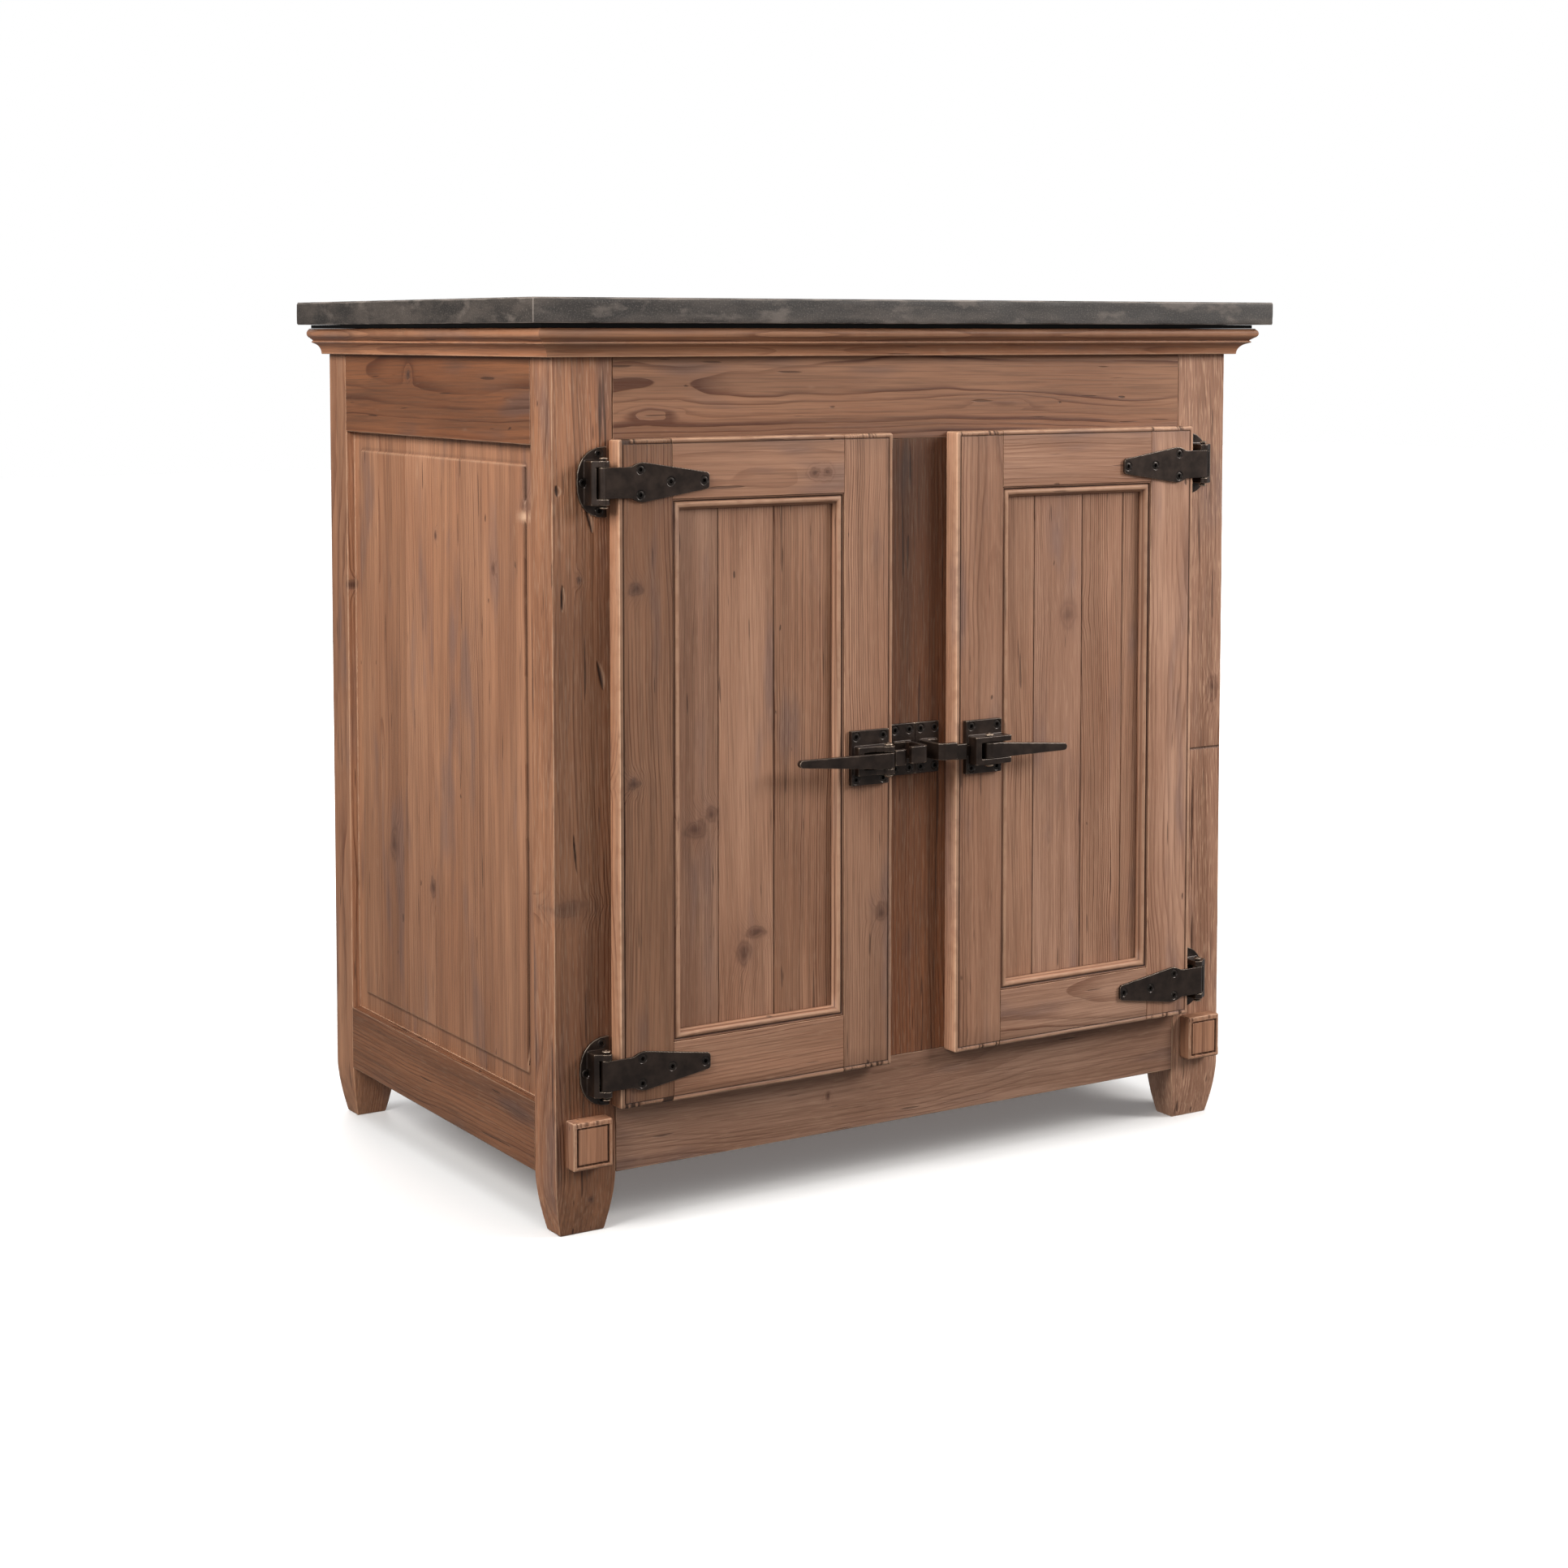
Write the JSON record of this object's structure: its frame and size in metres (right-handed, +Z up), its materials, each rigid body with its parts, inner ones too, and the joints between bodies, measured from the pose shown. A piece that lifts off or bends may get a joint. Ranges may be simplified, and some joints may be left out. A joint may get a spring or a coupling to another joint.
{
  "type": "two-door base cabinet",
  "caption": "Low free-standing wooden cabinet with stone top, panelled sides, framed doors on strap hinges, lever latches, moulded crown and tapered feet.",
  "frame": {"origin": "bottom centre of the bounding box, on the floor", "axes": "+X to the right seen from the front, +Y towards the back, +Z up; the doors face -Y"},
  "size_m": [0.914, 0.582, 0.912],
  "materials": {
    "pine_warm": "aged reclaimed pine, waxed matt",
    "pine_red": "aged reddish brown pine, matt",
    "pine_grey": "rough weathered grey-brown pine, matt",
    "dark_bronze": "dark oil-rubbed bronze, satin, worn edges",
    "stone": null,
    "black_board": "black painted board"
  },
  "bodies": {
    "cabinet": {"back_bottom_rail": "pine_red", "back_panel": "pine_warm", "back_top_rail": "pine_red", "centre_stile": "pine_red", "crown_front": "pine_red", "crown_left": "pine_red", "crown_right": "pine_red", "floor_board": "pine_warm", "front_bottom_rail": "pine_red", "front_top_rail": "pine_grey", "hinge_pin_left_bottom": "dark_bronze", "hinge_pin_left_top": "dark_bronze", "hinge_pin_right_bottom": "dark_bronze", "hinge_pin_right_top": "dark_bronze", "hinge_plate_left_bottom": "dark_bronze", "hinge_plate_left_top": "dark_bronze", "hinge_plate_right_bottom": "dark_bronze", "hinge_plate_right_top": "dark_bronze", "plinth_block_left": "pine_warm", "plinth_block_right": "pine_warm", "post_back_left": "pine_grey", "post_back_right": "pine_grey", "post_front_left": "pine_grey", "post_front_right": "pine_grey", "shelf": "pine_warm", "side_bottom_rail_left": "pine_red", "side_bottom_rail_right": "pine_red", "side_panel_left": "pine_warm", "side_panel_right": "pine_warm", "side_top_rail_left": "pine_red", "side_top_rail_right": "pine_red", "stone_top": "stone", "strike_left": "dark_bronze", "strike_right": "dark_bronze", "sub_top": "black_board"},
    "left_door": {"left_door_bead": "pine_warm", "left_door_panel": "pine_grey", "left_door_rail_bottom": "pine_warm", "left_door_rail_top": "pine_warm", "left_door_stile_hinge": "pine_warm", "left_door_stile_latch": "pine_warm", "left_door_strap_bottom": "dark_bronze", "left_door_strap_top": "dark_bronze", "left_latch_case": "dark_bronze", "left_latch_pin": "dark_bronze"},
    "right_door": {"right_door_bead": "pine_warm", "right_door_panel": "pine_grey", "right_door_rail_bottom": "pine_warm", "right_door_rail_top": "pine_warm", "right_door_stile_hinge": "pine_warm", "right_door_stile_latch": "pine_warm", "right_door_strap_bottom": "dark_bronze", "right_door_strap_top": "dark_bronze", "right_latch_case": "dark_bronze", "right_latch_pin": "dark_bronze"},
    "left_lever": {"left_lever": "dark_bronze"},
    "right_lever": {"right_lever": "dark_bronze"},
    "left_bolt": {"left_bolt": "dark_bronze"},
    "right_bolt": {"right_bolt": "dark_bronze"}
  },
  "joints": [
    {"name": "left_door_swing", "type": "hinge", "parent": "cabinet", "child": "left_door", "pos_m": [-0.373, -0.2662, 0.4483], "axis": [0, 0, -1], "range_deg": [0, 130]},
    {"name": "right_door_swing", "type": "hinge", "parent": "cabinet", "child": "right_door", "pos_m": [0.373, -0.2662, 0.4483], "axis": [0, 0, 1], "range_deg": [0, 130]},
    {"name": "left_lever_turn", "type": "hinge", "parent": "left_door", "child": "left_lever", "pos_m": [-0.056, -0.2845, 0.4453], "axis": [0, 0, 1], "range_deg": [0, 30], "stiffness_Nm_per_rad": 0.25},
    {"name": "right_lever_turn", "type": "hinge", "parent": "right_door", "child": "right_lever", "pos_m": [0.071, -0.2845, 0.4453], "axis": [0, 0, -1], "range_deg": [0, 30], "stiffness_Nm_per_rad": 0.25},
    {"name": "left_bolt_slide", "type": "slide", "parent": "left_door", "child": "left_bolt", "axis": [-1, 0, 0], "range_m": [0, 0.004]},
    {"name": "right_bolt_slide", "type": "slide", "parent": "right_door", "child": "right_bolt", "axis": [1, 0, 0], "range_m": [0, 0.004]}
  ],
  "couplings": [
    {"joint": "left_bolt_slide", "follows": "left_lever_turn", "m_per_rad": 0.0076},
    {"joint": "right_bolt_slide", "follows": "right_lever_turn", "m_per_rad": 0.0076}
  ]
}
